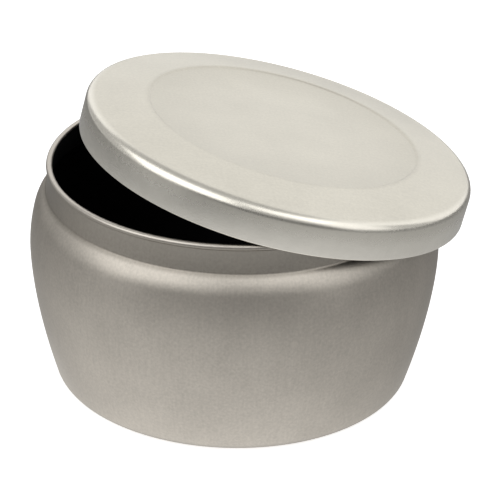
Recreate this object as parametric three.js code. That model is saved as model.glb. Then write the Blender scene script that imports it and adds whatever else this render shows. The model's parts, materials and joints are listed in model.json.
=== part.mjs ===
// Candle tin: a drawn tinplate body with a rolled rim, and a slip lid that leans across its mouth.
// Millimetres, +Z up. The origin is the centre of the base, on the surface that the tin stands on.
// Both pieces are thin sheet turned about their own axis, so each one is a midline profile
// (radius, height) given the sheet's thickness and revolved.
import * as THREE from "three";

// Sheet and facets
const SHEET = 0.3; // tinplate thickness
const RIM_CURL = 0.7; // outside radius of the body's rolled rim
const LID_CURL = 0.42; // outside radius of the lid's rolled edge
const CURL_TURN = 255; // degrees that a rolled edge turns through, so the roll stays open
const FACETS = 48; // flats around each piece

// Body, measured on its outside surface
const BELLY_RADIUS = 44; // widest point
const BELLY_HEIGHT = 30.1;
const FOOT_RADIUS = 38.2; // where the wall would meet the base if the corner were sharp
const FOOT_ROUND = 2.7; // corner between base and wall
const WALL_BULGE = 1.65; // exponent of the lower wall's curve from foot to belly
const SHOULDER_HEIGHT = 38.1; // where the upper wall ends and the shoulder's round starts
const SHOULDER_INSET = 0.95; // how far in from the belly that is
const SHOULDER_ROUND = 9;
const SHOULDER_TURN = 44; // degrees that the shoulder has turned in by, where it meets the neck
const NECK_ROUND = 1; // hollow corner between shoulder and neck
const NECK_RADIUS = 39.3; // under the rolled rim
const RIM_HEIGHT = 48.9; // top of the rolled rim
const BASE_BEAD_RADIUS = 28; // stiffening bead, pressed up into the base
const BASE_BEAD_WIDTH = 4;
const BASE_BEAD_RISE = 0.5;

// Lid, measured on its outside surface, in its own frame: z = 0 is the bottom of the skirt
const LID_RADIUS = 42.2;
const LID_SKIRT = 8.55; // height of the skirt with its rounded corner
const LID_CORNER = 2.4; // corner between skirt and panel
const LID_DOME = 1.65; // rise of the panel from the corner to the pressed step
const RING_RADIUS = 29.3; // middle of the pressed step down to the flat centre panel
const RING_WIDTH = 0.6;
const PANEL_DROP = 0.25; // depth of the centre panel below the step's outer edge

// The lid leans across the open mouth: its right side is pushed out over the rim and hangs low
const LEAN = 13.3; // degrees about +Y
const LEAN_SHIFT = 7.75; // centre of the skirt's bottom circle, along +X
const LEAN_HEIGHT = 46.82; // and its height

const half = SHEET / 2;

function point(radius, height) {
  return new THREE.Vector2(radius, height);
}

// Points of an arc about (radius, height), from one angle to another in degrees
function arc(radius, height, size, from, to, steps) {
  return Array.from({ length: steps + 1 }, (_, i) => {
    const angle = THREE.MathUtils.degToRad(from + ((to - from) * i) / steps);
    return point(radius + size * Math.cos(angle), height + size * Math.sin(angle));
  });
}

// A smooth step between two points of a profile that are level or nearly level
function easedStep(from, to, steps) {
  return Array.from({ length: steps + 1 }, (_, i) => {
    const t = i / steps;
    const rise = THREE.MathUtils.smoothstep(t, 0, 1);
    return point(from.x + (to.x - from.x) * t, from.y + (to.y - from.y) * rise);
  });
}

// The midline moved sideways by a distance, square to the line at each point
function offset(line, distance) {
  return line.map((p, i) => {
    const along = line[Math.min(i + 1, line.length - 1)].clone().sub(line[Math.max(i - 1, 0)]).normalize();
    if (p.x === 0) along.set(1, 0);
    return point(p.x + along.y * distance, p.y - along.x * distance);
  });
}

// A sheet of the given midline, which starts on the axis, revolved about +Z
function spunSheet(midline) {
  const outside = offset(midline, half);
  const inside = offset(midline, -half).reverse();
  return new THREE.LatheGeometry([...outside, ...inside], FACETS).rotateX(Math.PI / 2);
}

// From the centre of the base out to the corner, with its stiffening bead
function baseLine() {
  const inner = BASE_BEAD_RADIUS - BASE_BEAD_WIDTH / 2;
  const outer = BASE_BEAD_RADIUS + BASE_BEAD_WIDTH / 2;
  const top = half + BASE_BEAD_RISE;
  return [
    point(0, half),
    ...easedStep(point(inner, half), point(BASE_BEAD_RADIUS, top), 3),
    ...easedStep(point(BASE_BEAD_RADIUS, top), point(outer, half), 3).slice(1),
  ];
}

// Lower wall: swells from the foot to the belly, and is upright where it gets there
function wallRadius(height) {
  const left = 1 - height / BELLY_HEIGHT;
  return BELLY_RADIUS - half - (BELLY_RADIUS - FOOT_RADIUS) * left ** WALL_BULGE;
}

function wallLine() {
  const flare = Math.atan((WALL_BULGE * (BELLY_RADIUS - FOOT_RADIUS)) / BELLY_HEIGHT);
  const size = FOOT_ROUND - half;
  const flareDegrees = THREE.MathUtils.radToDeg(flare);
  const tangent = size * Math.tan((Math.PI / 2 - flare) / 2);
  const centre = wallRadius(half) - tangent;
  const corner = arc(centre, half + size, size, -90, -flareDegrees, 4);
  const start = corner[corner.length - 1].y;
  const steps = 8;
  const wall = Array.from({ length: steps + 1 }, (_, i) => {
    const height = start + ((BELLY_HEIGHT - start) * i) / steps;
    return point(wallRadius(height), height);
  });
  return [...corner, ...wall.slice(1)];
}

// Upper wall, curving in from the belly, and the round shoulder above it
function shoulderLine() {
  const rise = SHOULDER_HEIGHT - BELLY_HEIGHT;
  const steps = 5;
  const wall = Array.from({ length: steps }, (_, i) => {
    const t = (i + 1) / steps;
    return point(BELLY_RADIUS - half - SHOULDER_INSET * t ** 2, BELLY_HEIGHT + rise * t);
  });
  const start = Math.atan((2 * SHOULDER_INSET) / rise);
  const size = SHOULDER_ROUND - half;
  const { x, y } = wall[steps - 1];
  const round = arc(
    x - size * Math.cos(start), y - size * Math.sin(start), size,
    THREE.MathUtils.radToDeg(start), SHOULDER_TURN, 4);
  return [...wall, ...round.slice(1)];
}

// Neck: a hollow round at its foot, and the wall drawn in to the rim, which is rolled outwards and down
function neckLine(shoulderEnd) {
  const size = NECK_ROUND + half;
  const turn = THREE.MathUtils.degToRad(SHOULDER_TURN);
  const foot = arc(
    shoulderEnd.x + size * Math.cos(turn), shoulderEnd.y + size * Math.sin(turn), size,
    180 + SHOULDER_TURN, 180, 3).slice(1);
  const rollSize = RIM_CURL - half;
  const rollCentre = NECK_RADIUS - half + rollSize;
  const roll = arc(rollCentre, RIM_HEIGHT - RIM_CURL, rollSize, 180, 180 - CURL_TURN, 7);
  return [...foot, ...roll];
}

// Lid: sunken centre panel, pressed step, domed outer panel, rounded corner, and skirt with its edge
// rolled inwards
function lidLine() {
  const panelEdge = LID_RADIUS - LID_CORNER;
  const top = LID_SKIRT + LID_DOME - half;
  const panel = top - PANEL_DROP;
  const domeStart = RING_RADIUS + RING_WIDTH / 2;
  const step = easedStep(point(RING_RADIUS - RING_WIDTH / 2, panel), point(domeStart, top), 3);
  const dome = [1, 2, 3].map((i) => {
    const radius = domeStart + ((panelEdge - domeStart) * i) / 4;
    const fall = (radius ** 2 - domeStart ** 2) / (panelEdge ** 2 - domeStart ** 2);
    return point(radius, top - LID_DOME * fall);
  });
  const corner = arc(panelEdge, LID_SKIRT - LID_CORNER, LID_CORNER - half, 90, 0, 5);
  const roll = arc(LID_RADIUS - LID_CURL, LID_CURL, LID_CURL - half, 0, -CURL_TURN, 7);
  return [point(0, panel), ...step, ...dome, ...corner, ...roll];
}

const tinplate = new THREE.MeshStandardMaterial({ color: 0x9b9a93, roughness: 0.42, metalness: 1 });
const lidTinplate = new THREE.MeshStandardMaterial({ color: 0xd3cec3, roughness: 0.4, metalness: 1 });

const shoulder = shoulderLine();
const neck = neckLine(shoulder[shoulder.length - 1]);
const body = new THREE.Mesh(spunSheet([...baseLine(), ...wallLine(), ...shoulder, ...neck]), tinplate);
body.name = "tin_body";

const lid = new THREE.Mesh(spunSheet(lidLine()), lidTinplate);
lid.name = "lid";
lid.rotation.y = THREE.MathUtils.degToRad(LEAN);
lid.position.set(LEAN_SHIFT, 0, LEAN_HEIGHT);

const tin = new THREE.Group();
tin.add(body, lid);

export default tin;
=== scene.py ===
"""Candle tin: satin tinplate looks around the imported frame.

Two pieces of pressed sheet, each turned about its own axis: the tin, with a rolled rim, and the slip lid
that leans across its mouth. Both are revolved here from fine profiles of the same dimensions as the
frame's pieces, and replace them. Lengths are in millimetres, except in the studio, which is in metres.
"""
import json
import math

import bpy
from mathutils import Matrix, Vector


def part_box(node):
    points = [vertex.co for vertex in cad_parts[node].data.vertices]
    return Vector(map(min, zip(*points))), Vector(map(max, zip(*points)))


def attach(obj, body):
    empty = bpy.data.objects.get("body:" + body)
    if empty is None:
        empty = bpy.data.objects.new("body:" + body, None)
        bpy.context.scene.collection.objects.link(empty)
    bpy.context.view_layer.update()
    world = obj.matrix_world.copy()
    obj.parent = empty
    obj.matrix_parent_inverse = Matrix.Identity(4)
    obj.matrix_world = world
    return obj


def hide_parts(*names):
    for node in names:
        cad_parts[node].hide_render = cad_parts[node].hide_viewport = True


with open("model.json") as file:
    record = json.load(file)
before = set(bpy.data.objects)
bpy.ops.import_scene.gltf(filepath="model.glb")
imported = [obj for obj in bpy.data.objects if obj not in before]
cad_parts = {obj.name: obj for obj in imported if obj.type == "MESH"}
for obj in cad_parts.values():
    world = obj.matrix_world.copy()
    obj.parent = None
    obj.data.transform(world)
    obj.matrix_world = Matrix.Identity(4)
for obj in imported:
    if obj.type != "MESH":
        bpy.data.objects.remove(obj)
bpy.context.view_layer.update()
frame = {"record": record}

MM = 0.001  # one millimetre in scene units

# Sheet and rolled edges
SHEET = 0.3
RIM_CURL = 0.7
LID_CURL = 0.42
CURL_TURN = 255  # degrees

# Body, outside surface
tin_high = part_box("tin_body")[1]
BELLY_RADIUS = tin_high[0] / MM
RIM_HEIGHT = tin_high[2] / MM
BELLY_HEIGHT = 30.1
FOOT_RADIUS = 38.2  # where the wall would meet the base if the corner were sharp
FOOT_ROUND = 2.7
WALL_BULGE = 1.65  # exponent of the lower wall's curve
SHOULDER_HEIGHT = 38.1  # where the shoulder's round starts
SHOULDER_INSET = 0.95  # how far in from the belly that is
SHOULDER_ROUND = 9
SHOULDER_TURN = 44  # degrees
NECK_ROUND = 1  # hollow corner at the foot of the neck
NECK_RADIUS = 39.3
BASE_BEAD_RADIUS = 28  # stiffening bead in the base
BASE_BEAD_WIDTH = 4
BASE_BEAD_RISE = 0.5

# Lid, outside surface, with z = 0 at the bottom of its skirt
LID_RADIUS = 42.2
LID_SKIRT = 8.55
LID_CORNER = 2.4
LID_DOME = 1.65
RING_RADIUS = 29.3  # pressed step down to the centre panel
RING_WIDTH = 0.6
PANEL_DROP = 0.25
LID_TOP = LID_SKIRT + LID_DOME - PANEL_DROP

FACETS = 288
STAGE_FACETS = 96
HALF = SHEET / 2


# ---------------------------------------------------------------- profiles: lists of (radius, height)
def arc(radius, height, size, start, end, steps):
    """Points of an arc about (radius, height), from one angle to another in degrees."""
    angles = [math.radians(start + (end - start) * i / steps) for i in range(steps + 1)]
    return [(radius + size * math.cos(a), height + size * math.sin(a)) for a in angles]


def eased_step(start, end, steps):
    """A smooth step between two points that are level or nearly level."""
    points = []
    for i in range(steps + 1):
        t = i / steps
        rise = t * t * (3 - 2 * t)
        points.append((start[0] + (end[0] - start[0]) * t, start[1] + (end[1] - start[1]) * rise))
    return points


def offset(line, distance):
    """The line moved sideways by a distance, square to itself at each point."""
    moved = []
    for i, (radius, height) in enumerate(line):
        before, after = line[max(i - 1, 0)], line[min(i + 1, len(line) - 1)]
        along = Vector((after[0] - before[0], after[1] - before[1])).normalized()
        if radius == 0:
            along = Vector((1, 0))
        moved.append((radius + along.y * distance, height - along.x * distance))
    return moved


def base_line():
    """From the centre of the base out to its corner, with the stiffening bead."""
    inner = BASE_BEAD_RADIUS - BASE_BEAD_WIDTH / 2
    outer = BASE_BEAD_RADIUS + BASE_BEAD_WIDTH / 2
    top = HALF + BASE_BEAD_RISE
    up = eased_step((inner, HALF), (BASE_BEAD_RADIUS, top), 10)
    down = eased_step((BASE_BEAD_RADIUS, top), (outer, HALF), 10)
    return [(0, HALF), (inner / 2, HALF)] + up + down[1:]


def wall_radius(height):
    """Midline of the lower wall, which is upright where it reaches the belly."""
    left = max(1 - height / BELLY_HEIGHT, 0)
    return BELLY_RADIUS - HALF - (BELLY_RADIUS - FOOT_RADIUS) * left ** WALL_BULGE


def wall_line():
    """The foot's corner and the lower wall."""
    flare = math.atan(WALL_BULGE * (BELLY_RADIUS - FOOT_RADIUS) / BELLY_HEIGHT)
    size = FOOT_ROUND - HALF
    centre = wall_radius(HALF) - size * math.tan((math.pi / 2 - flare) / 2)
    corner = arc(centre, HALF + size, size, -90, -math.degrees(flare), 16)
    start = corner[-1][1]
    steps = 40
    heights = [start + (BELLY_HEIGHT - start) * (i + 1) / steps for i in range(steps)]
    return corner + [(wall_radius(h), h) for h in heights]


def shoulder_line():
    """The upper wall, curving in from the belly, and the round shoulder above it."""
    rise = SHOULDER_HEIGHT - BELLY_HEIGHT
    steps = 24
    fractions = [(i + 1) / steps for i in range(steps)]
    wall = [(BELLY_RADIUS - HALF - SHOULDER_INSET * t * t, BELLY_HEIGHT + rise * t) for t in fractions]
    start = math.atan(2 * SHOULDER_INSET / rise)
    size = SHOULDER_ROUND - HALF
    radius = wall[-1][0] - size * math.cos(start)
    height = wall[-1][1] - size * math.sin(start)
    return wall + arc(radius, height, size, math.degrees(start), SHOULDER_TURN, 24)[1:]


def neck_line():
    """The hollow round at the foot of the neck."""
    size = NECK_ROUND + HALF
    turn = math.radians(SHOULDER_TURN)
    radius, height = shoulder_line()[-1]
    centre = (radius + size * math.cos(turn), height + size * math.sin(turn))
    return arc(*centre, size, 180 + SHOULDER_TURN, 180, 16)[1:]


def rim_line():
    """The rim, rolled outwards and down."""
    size = RIM_CURL - HALF
    return arc(NECK_RADIUS - HALF + size, RIM_HEIGHT - RIM_CURL, size, 180, 180 - CURL_TURN, 24)


def lid_line():
    """Centre panel, pressed step, domed outer panel, rounded corner and skirt."""
    panel_edge = LID_RADIUS - LID_CORNER
    top = LID_SKIRT + LID_DOME - HALF
    start = RING_RADIUS + RING_WIDTH / 2
    panel = top - PANEL_DROP
    step = eased_step((RING_RADIUS - RING_WIDTH / 2, panel), (start, top), 12)
    dome = []
    for i in range(1, 12):
        radius = start + (panel_edge - start) * i / 12
        fall = (radius ** 2 - start ** 2) / (panel_edge ** 2 - start ** 2)
        dome.append((radius, top - LID_DOME * fall))
    corner = arc(panel_edge, LID_SKIRT - LID_CORNER, LID_CORNER - HALF, 90, 0, 20)
    skirt = [(LID_RADIUS - HALF, (LID_SKIRT - LID_CORNER) / 2)]
    return [(0, panel), (RING_RADIUS / 2, panel)] + step + dome + corner + skirt


def lid_roll():
    """The skirt's edge, rolled inwards."""
    return arc(LID_RADIUS - LID_CURL, LID_CURL, LID_CURL - HALF, 0, -CURL_TURN, 24)


# ---------------------------------------------------------------- wear, painted sheen and painted shade, 0 to 1
def fade(value, start, end):
    """0 at the start, 1 at the end, smooth between them."""
    t = min(max((value - start) / (end - start), 0), 1)
    return t * t * (3 - 2 * t)


def tin_wear(radius, height):
    """The rim, and a little of the foot, are rubbed bright."""
    rim = 0.4 * fade(height, RIM_HEIGHT - 2 * RIM_CURL, RIM_HEIGHT - RIM_CURL)
    foot = 0.2 * fade(height, FOOT_ROUND, 0.2 * FOOT_ROUND)
    return max(rim, foot)


def lid_wear_and_sheen(radius, height):
    """The skirt and its edge are rubbed bright by handling, and the corner less so; the lighter colour
    there is also a painted sheen, which makes the skirt and the corner's highlight brighter.
    """
    panel_edge = LID_RADIUS - LID_CORNER
    outer = fade(radius, panel_edge + 0.25 * LID_CORNER, panel_edge + 0.75 * LID_CORNER)
    corner = 0.5 * outer * fade(height, LID_SKIRT - 1.2 * LID_CORNER, LID_SKIRT - 0.9 * LID_CORNER)
    skirt = 0.85 * fade(height, LID_SKIRT - 0.9 * LID_CORNER, LID_SKIRT - 1.4 * LID_CORNER)
    return max(corner, skirt, fade(height, 2 * LID_CURL, LID_CURL))


def tin_painted_shade(radius, height):
    """Painted shade on the neck: most of all under the rim, and in the hollow at its foot."""
    low, high = neck_line()[0][1], neck_line()[-1][1]
    hollow = 0.75 * fade(abs(height - (low + high) / 2), 1.3 * (high - low), 0.2)
    neck = 0.8 * fade(height, high, RIM_HEIGHT - 2 * RIM_CURL)
    return max(hollow, neck * fade(height, RIM_HEIGHT - 0.5 * RIM_CURL, RIM_HEIGHT - RIM_CURL))


def lid_painted_shade(radius, height):
    """A line of painted shade in the pressed step."""
    return 0.3 * fade(abs(radius - RING_RADIUS), RING_WIDTH, 0.2 * RING_WIDTH)


# ---------------------------------------------------------------- meshes
def spun_sheet(name, midline, place, wear_and_sheen_at, shade_at, lined):
    """A sheet of the given midline, revolved about +Z. The bands in lined, a range, have material 1."""
    outside = offset(midline, HALF)
    inside = offset(midline, -HALF)
    profile = outside + inside[::-1]
    verts, rings, wear_and_sheen, painted_shade = [], [], [], []
    for radius, height in profile:
        if radius == 0:
            rings.append([len(verts)] * FACETS)
            verts.append((0, 0, height * MM))
            wear_and_sheen.append(0)
            painted_shade.append(0)
            continue
        rings.append(list(range(len(verts), len(verts) + FACETS)))
        wear_and_sheen.extend([wear_and_sheen_at(radius, height)] * FACETS)
        painted_shade.extend([shade_at(radius, height)] * FACETS)
        for i in range(FACETS):
            angle = 2 * math.pi * i / FACETS
            verts.append((radius * math.cos(angle) * MM, radius * math.sin(angle) * MM, height * MM))
    faces, slots = [], []
    for k in range(len(profile) - 1):
        low, high = rings[k], rings[k + 1]
        for i in range(FACETS):
            j = (i + 1) % FACETS
            corners = list(dict.fromkeys((low[i], low[j], high[j], high[i])))
            faces.append(corners)
            slots.append(1 if k in lined else 0)
    mesh = bpy.data.meshes.new(name)
    mesh.from_pydata(verts, [], faces)
    own = mesh.attributes.new("own_place", "FLOAT_VECTOR", "POINT")
    own.data.foreach_set("vector", [c for v in verts for c in v])
    # Two masks per point: the first is rubbed wear, and on the lid also painted sheen; the second is
    # painted shade.
    mesh.attributes.new("wear_and_sheen", "FLOAT", "POINT").data.foreach_set("value", wear_and_sheen)
    mesh.attributes.new("painted_shade", "FLOAT", "POINT").data.foreach_set("value", painted_shade)
    mesh.transform(place)
    mesh.polygons.foreach_set("material_index", slots)
    mesh.shade_smooth()
    mesh.set_sharp_from_angle(angle=math.radians(50))
    piece = bpy.data.objects.new(name, mesh)
    bpy.context.scene.collection.objects.link(piece)
    return piece


def lid_place():
    """The lid's own frame in the row frame, from the flat face in the middle of its top."""
    mount = next(m for m in frame["record"]["mounts"] if m["name"] == "lid_top")
    axis = Vector(mount["axis"]).normalized()
    across = Vector((0, 1, 0)).cross(axis).normalized()
    turn = Matrix((across, axis.cross(across), axis)).transposed().to_4x4()
    return Matrix.Translation(Vector(mount["pos_m"]) - axis * LID_TOP * MM) @ turn


# ---------------------------------------------------------------- materials
def new_material(name):
    """A material, with its nodes, its links and its shader."""
    material = bpy.data.materials.new(name)
    material.use_nodes = True
    nodes, links = material.node_tree.nodes, material.node_tree.links
    return material, nodes, links, nodes["Principled BSDF"]


def attribute(nodes, name):
    node = nodes.new("ShaderNodeAttribute")
    node.attribute_name = name
    return node


def noise(nodes, links, vector, scale, detail):
    node = nodes.new("ShaderNodeTexNoise")
    node.inputs["Scale"].default_value = scale
    node.inputs["Detail"].default_value = detail
    links.new(vector, node.inputs["Vector"])
    return node.outputs["Fac"]


def math_node(nodes, links, operation, first, second, third=0):
    node = nodes.new("ShaderNodeMath")
    node.operation = operation
    for socket, value in zip(node.inputs, (first, second, third)):
        if isinstance(value, (int, float)):
            socket.default_value = value
        else:
            links.new(value, socket)
    return node.outputs[0]


def stretched(nodes, links, vector, stretch):
    node = nodes.new("ShaderNodeVectorMath")
    node.operation = "MULTIPLY"
    node.inputs[1].default_value = stretch
    links.new(vector, node.inputs[0])
    return node.outputs[0]


def drawn_streaks(nodes, links, place):
    """Faint lines that run up the wall, where the sheet was drawn over the die."""
    around = nodes.new("ShaderNodeVectorMath")
    around.operation = "NORMALIZE"
    links.new(stretched(nodes, links, place, (1, 1, 0)), around.inputs[0])
    along = nodes.new("ShaderNodeVectorMath")
    along.operation = "ADD"
    links.new(around.outputs[0], along.inputs[0])
    links.new(stretched(nodes, links, place, (0, 0, 0.7)), along.inputs[1])
    return noise(nodes, links, along.outputs[0], 110, 3)


def rolled_streaks(nodes, links, place):
    """Faint straight lines across the panel, left in the sheet by the rolling mill."""
    return noise(nodes, links, stretched(nodes, links, place, (60, 1900, 200)), 1, 3)


def tinplate(name, streaks, roughness, polish, edge, dark, light, worn_and_sheen_colour):
    """Satin tinplate: fine grain, soft mottling, faint streaks, and edges rubbed smoother and lighter; the
    lighter colour is also painted sheen on the lid, and a grey multiplied in where marked is painted shade.
    """
    material, nodes, links, shader = new_material(name)
    place = attribute(nodes, "own_place").outputs["Vector"]
    grain = noise(nodes, links, place, 1800, 3)
    mottle = noise(nodes, links, place, 90, 5)
    lines = streaks(nodes, links, place)
    mixed = math_node(nodes, links, "MULTIPLY_ADD", grain, 0.5, math_node(
        nodes, links, "MULTIPLY_ADD", mottle, 0.35, math_node(nodes, links, "MULTIPLY", lines, 0.15)))

    tone = nodes.new("ShaderNodeValToRGB")
    tone.color_ramp.elements[0].position = 0.3
    tone.color_ramp.elements[0].color = (*dark, 1)
    tone.color_ramp.elements[1].position = 0.7
    tone.color_ramp.elements[1].color = (*light, 1)
    links.new(mixed, tone.inputs["Fac"])

    edge_break = noise(nodes, links, place, 400, 4)
    bright = math_node(nodes, links, "MULTIPLY", attribute(nodes, "wear_and_sheen").outputs["Fac"], math_node(
        nodes, links, "MULTIPLY_ADD", edge_break, 0.4, 0.75))
    # Lighter towards the worn colour where marked: rubbed wear, and on the lid also painted sheen on the
    # skirt and the corner.
    colour = nodes.new("ShaderNodeMix")
    colour.data_type = "RGBA"
    links.new(bright, colour.inputs["Factor"])
    links.new(tone.outputs["Color"], colour.inputs["A"])
    colour.inputs["B"].default_value = (*worn_and_sheen_colour, 1)
    # Painted shade: a grey multiplied into the colour where marked, under the rim, in the hollow at the
    # neck's foot and in the lid's pressed step.
    shaded = nodes.new("ShaderNodeMix")
    shaded.data_type = "RGBA"
    shaded.blend_type = "MULTIPLY"
    shade_amount = math_node(nodes, links, "MULTIPLY", attribute(nodes, "painted_shade").outputs["Fac"], math_node(
        nodes, links, "MULTIPLY_ADD", mottle, 0.6, 0.6))
    links.new(shade_amount, shaded.inputs["Factor"])
    links.new(colour.outputs["Result"], shaded.inputs["A"])
    shaded.inputs["B"].default_value = (0.6, 0.59, 0.57, 1)
    links.new(shaded.outputs["Result"], shader.inputs["Base Color"])

    satin = math_node(nodes, links, "MULTIPLY_ADD", mixed, 0.12, roughness - 0.06)
    links.new(math_node(nodes, links, "MULTIPLY_ADD", bright, -polish, satin), shader.inputs["Roughness"])

    relief = nodes.new("ShaderNodeBump")
    relief.inputs["Strength"].default_value = 0.7
    relief.inputs["Distance"].default_value = 0.015 * MM
    links.new(math_node(nodes, links, "MULTIPLY_ADD", lines, 0.4, grain), relief.inputs["Height"])
    links.new(relief.outputs["Normal"], shader.inputs["Normal"])
    shader.inputs["Metallic"].default_value = 1
    shader.inputs["Specular Tint"].default_value = (edge, edge, edge, 1)
    return material


def lacquer():
    """Baked black lacquer: a little orange peel, and a thin haze of dust."""
    material, nodes, links, shader = new_material("black_lacquer")
    place = attribute(nodes, "own_place").outputs["Vector"]
    peel = noise(nodes, links, place, 900, 2)
    haze = noise(nodes, links, place, 120, 5)
    tone = nodes.new("ShaderNodeValToRGB")
    tone.color_ramp.elements[0].position = 0.35
    tone.color_ramp.elements[0].color = (0.003, 0.003, 0.004, 1)
    tone.color_ramp.elements[1].position = 0.75
    tone.color_ramp.elements[1].color = (0.008, 0.008, 0.01, 1)
    links.new(haze, tone.inputs["Fac"])
    links.new(tone.outputs["Color"], shader.inputs["Base Color"])
    links.new(math_node(nodes, links, "MULTIPLY_ADD", haze, 0.2, 0.4), shader.inputs["Roughness"])
    relief = nodes.new("ShaderNodeBump")
    relief.inputs["Strength"].default_value = 0.2
    relief.inputs["Distance"].default_value = 0.02 * MM
    links.new(peel, relief.inputs["Height"])
    links.new(relief.outputs["Normal"], shader.inputs["Normal"])
    return material


# ---------------------------------------------------------------- camera, floor and light
def direction(azimuth, elevation):
    """The way to a point seen from the tin, in degrees. Azimuth 0 is -Y, and azimuth 90 is +X."""
    a, e = math.radians(azimuth), math.radians(elevation)
    return Vector((math.sin(a) * math.cos(e), -math.cos(a) * math.cos(e), math.sin(e)))


def set_camera():
    """A long lens, looking down at the middle of the tin from its front left."""
    azimuth, elevation, roll = -10.41, 26.83, 1.41  # degrees
    target = Vector((3.33, -0.61, 27.66)) * MM
    distance = 562.7 * MM
    data = bpy.data.cameras.new("camera")
    data.lens = 187.2
    camera = bpy.data.objects.new("camera", data)
    back = direction(azimuth, elevation)
    right = direction(azimuth + 90, 0)
    turn = Matrix((right, back.cross(right), back)).transposed().to_4x4()
    turn = turn @ Matrix.Rotation(math.radians(roll), 4, "Z")
    camera.matrix_world = Matrix.Translation(target + back * distance) @ turn
    bpy.context.scene.collection.objects.link(camera)
    bpy.context.scene.camera = camera


def soft_box(name, azimuth, elevation, distance, width, depth, radiance, slant=0):
    """A soft box that faces the tin. Every point of it is as bright as the radiance given."""
    data = bpy.data.lights.new(name, "AREA")
    data.shape = "RECTANGLE"
    data.size, data.size_y = width, depth
    data.energy = radiance * math.pi * width * depth
    light = bpy.data.objects.new(name, data)
    back = direction(azimuth, elevation)
    turn = back.to_track_quat("Z", "Y").to_matrix().to_4x4()
    turn = turn @ Matrix.Rotation(math.radians(slant), 4, "Z")
    light.matrix_world = Matrix.Translation(back * distance) @ turn
    light.visible_camera = False
    bpy.context.scene.collection.objects.link(light)


def spun_stage(name, profile, material, start=0, turn=360):
    """Part of the studio, revolved about +Z from (radius, height) pairs in metres, from a start azimuth."""
    steps = STAGE_FACETS
    verts, faces = [], []
    for radius, height in profile:
        for i in range(steps + 1):
            way = direction(start + turn * i / steps, 0) * radius
            verts.append((way.x, way.y, height))
    for k in range(len(profile) - 1):
        for i in range(steps):
            low, high = k * (steps + 1) + i, (k + 1) * (steps + 1) + i
            faces.append((low, low + 1, high + 1, high))
    mesh = bpy.data.meshes.new(name)
    mesh.from_pydata(verts, [], faces)
    mesh.materials.append(material)
    piece = bpy.data.objects.new(name, mesh)
    bpy.context.scene.collection.objects.link(piece)
    return piece


def floor():
    """Pale floor, wide enough to fill every view."""
    pale, nodes, links, shader = new_material("pale_floor")
    shader.inputs["Base Color"].default_value = (0.85, 0.85, 0.85, 1)
    shader.inputs["Roughness"].default_value = 0.9
    shader.inputs["Emission Color"].default_value = (1, 1, 1, 1)
    shader.inputs["Emission Strength"].default_value = 0.6
    spun_stage("floor", [(0.0001, 0), (3, 0)], pale)


def graded_card():
    """A card that glows: brightest beside the tin, darker with distance, to both sides and behind."""
    card, nodes, links, shader = new_material("graded_card")
    shader.inputs["Base Color"].default_value = (0, 0, 0, 1)
    shader.inputs["Specular IOR Level"].default_value = 0
    place = nodes.new("ShaderNodeTexCoord").outputs["Object"]
    reach = nodes.new("ShaderNodeVectorMath")
    reach.operation = "LENGTH"
    links.new(stretched(nodes, links, place, (1, 1, 0)), reach.inputs[0])
    ramp = nodes.new("ShaderNodeValToRGB")
    links.new(reach.outputs["Value"], ramp.inputs["Fac"])
    links.new(ramp.outputs["Color"], shader.inputs["Emission Color"])
    # The darkest stop, at the card's inner edge beside the foot, paints the floor's contact shadow into the
    # metal's reflection.
    stops = ((0.037, 0.5), (0.039, 1.05), (0.042, 1.0), (0.048, 0.9), (0.064, 0.77), (0.087, 0.67),
             (0.12, 0.6), (0.19, 0.46), (0.26, 0.37), (0.45, 0.14))
    steps = ramp.color_ramp.elements
    while len(steps) < len(stops):
        steps.new(0.5)
    for step, (radius, grey) in zip(steps, stops):
        step.position = radius
        step.color = (grey, grey, grey, 1)

    sideways = nodes.new("ShaderNodeVectorMath")
    sideways.operation = "NORMALIZE"
    links.new(place, sideways.inputs[0])
    split = nodes.new("ShaderNodeSeparateXYZ")
    links.new(sideways.outputs[0], split.inputs[0])
    slope = math_node(nodes, links, "MULTIPLY_ADD", split.outputs["X"], -0.13, -0.2)
    across = math_node(nodes, links, "MULTIPLY_ADD", split.outputs["X"], slope, 1.0)
    behind = math_node(nodes, links, "MAXIMUM", split.outputs["Y"], 0.0)
    fall = math_node(nodes, links, "MULTIPLY_ADD", behind, -0.42, 1.0)
    links.new(math_node(nodes, links, "MULTIPLY", across, fall), shader.inputs["Emission Strength"])
    return card


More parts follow.
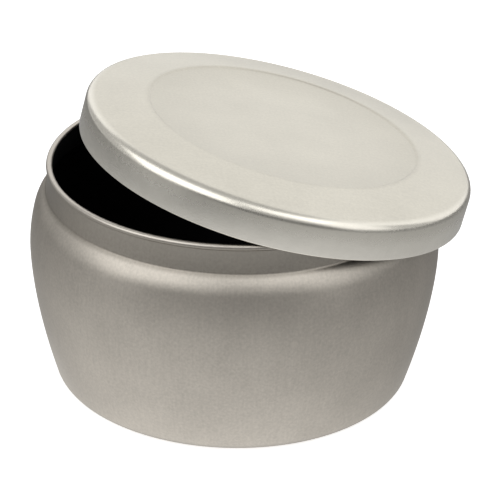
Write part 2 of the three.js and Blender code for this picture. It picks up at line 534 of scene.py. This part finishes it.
def cards():
    """Cards round the tin, which only reflections see: they give the metal its darker horizon."""
    card = graded_card()
    floor_card = spun_stage("floor_card", [(0.036, 0.0003), (0.9, 0.0005)], card)
    horizon_card = spun_stage("horizon_card", [(0.45, 0.0005), (0.5, 0.168)], card, -60, 90)
    for piece in (floor_card, horizon_card):
        piece.visible_camera = False
        piece.visible_diffuse = False
        piece.visible_shadow = False
        piece.visible_transmission = False


def soft_light():
    """An even pale surround, a broad panel behind and above, and three soft boxes in front."""
    world = bpy.data.worlds.new("studio")
    world.use_nodes = True
    background = world.node_tree.nodes["Background"]
    background.inputs["Color"].default_value = (1, 1, 1, 1)
    background.inputs["Strength"].default_value = 0.5
    bpy.context.scene.world = world
    bpy.context.scene.view_settings.view_transform = "Standard"
    soft_box("back_panel", 150, 38, distance=0.44, width=1.3, depth=0.66, radiance=0.65)
    soft_box("left_box", -63, 38, distance=0.43, width=0.5, depth=0.31, radiance=1.25, slant=20)
    soft_box("right_box", 14, 48, distance=0.43, width=0.25, depth=0.2, radiance=0.95, slant=-25)
    soft_box("side_box", 47, 36, distance=0.43, width=0.26, depth=0.38, radiance=0.76, slant=-5)


# ---------------------------------------------------------------- the object
tin_metal = tinplate("tin_satin", drawn_streaks, 0.42, polish=0.2, edge=0.66, dark=(0.425, 0.394, 0.35),
                     light=(0.585, 0.543, 0.482), worn_and_sheen_colour=(0.62, 0.585, 0.53))
lid_metal = tinplate("lid_satin", rolled_streaks, 0.34, polish=0.12, edge=0.9, dark=(0.56, 0.535, 0.468),
                     light=(0.68, 0.65, 0.57), worn_and_sheen_colour=(0.95, 0.915, 0.83))
lining = lacquer()

below_rim = base_line() + wall_line() + shoulder_line() + neck_line()
tin_midline = below_rim + rim_line()
tin_bands = 2 * len(tin_midline)
lined = range(tin_bands - len(below_rim) - 2, tin_bands)  # the inside of the tin comes last
tin = spun_sheet("tin_shell", tin_midline, Matrix.Identity(4), tin_wear, tin_painted_shade, lined)
tin.data.materials.append(tin_metal)
tin.data.materials.append(lining)
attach(tin, "tin")
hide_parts("tin_body")

above_roll = lid_line()
lined = range(len(above_roll) + 2)  # the inside of the lid comes first
lid = spun_sheet("lid_shell", above_roll + lid_roll(), lid_place(), lid_wear_and_sheen, lid_painted_shade, lined)
lid.data.materials.append(lid_metal)
lid.data.materials.append(lining)
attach(lid, "lid")
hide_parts("lid")

set_camera()
floor()
cards()
soft_light()
